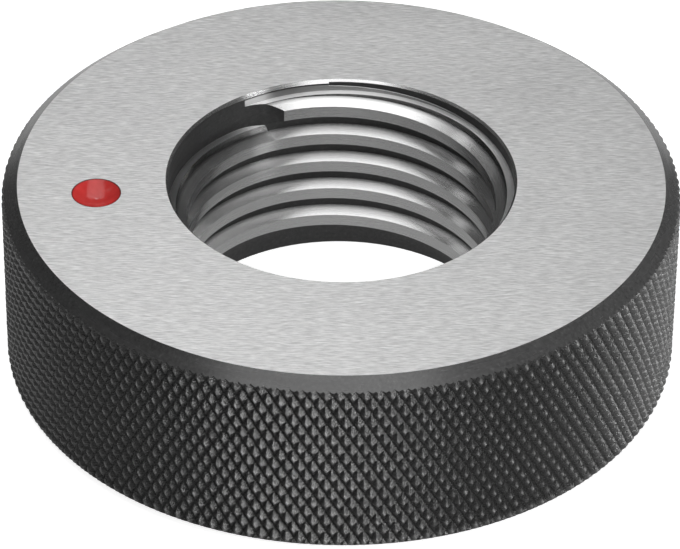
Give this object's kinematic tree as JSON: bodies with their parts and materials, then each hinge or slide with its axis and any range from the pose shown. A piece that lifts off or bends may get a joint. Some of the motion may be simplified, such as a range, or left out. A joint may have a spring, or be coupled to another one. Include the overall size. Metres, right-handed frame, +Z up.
{
  "type": "thread ring gauge",
  "caption": "Steel ring gauge with a bevelled knurled rim, a blunt-ended internal thread and a red mark spot in its top face.",
  "frame": {"origin": "centre of the bottom face, on the bore's axis", "axes": "+Z up along the bore's axis, towards the face with the red mark; the mark lies near -X"},
  "size_m": [0.063, 0.063, 0.0192],
  "materials": {
    "gauge_steel": "ground bright on both faces and in the bore, black oxide on the bevels, the knurled rim, the thread's root and the end reliefs",
    "red_lacquer": "glossy red lacquer, set in a dished spot"
  },
  "bodies": {
    "root": {"gauge_ring": "gauge_steel", "red_mark": "red_lacquer"}
  },
  "joints": []
}
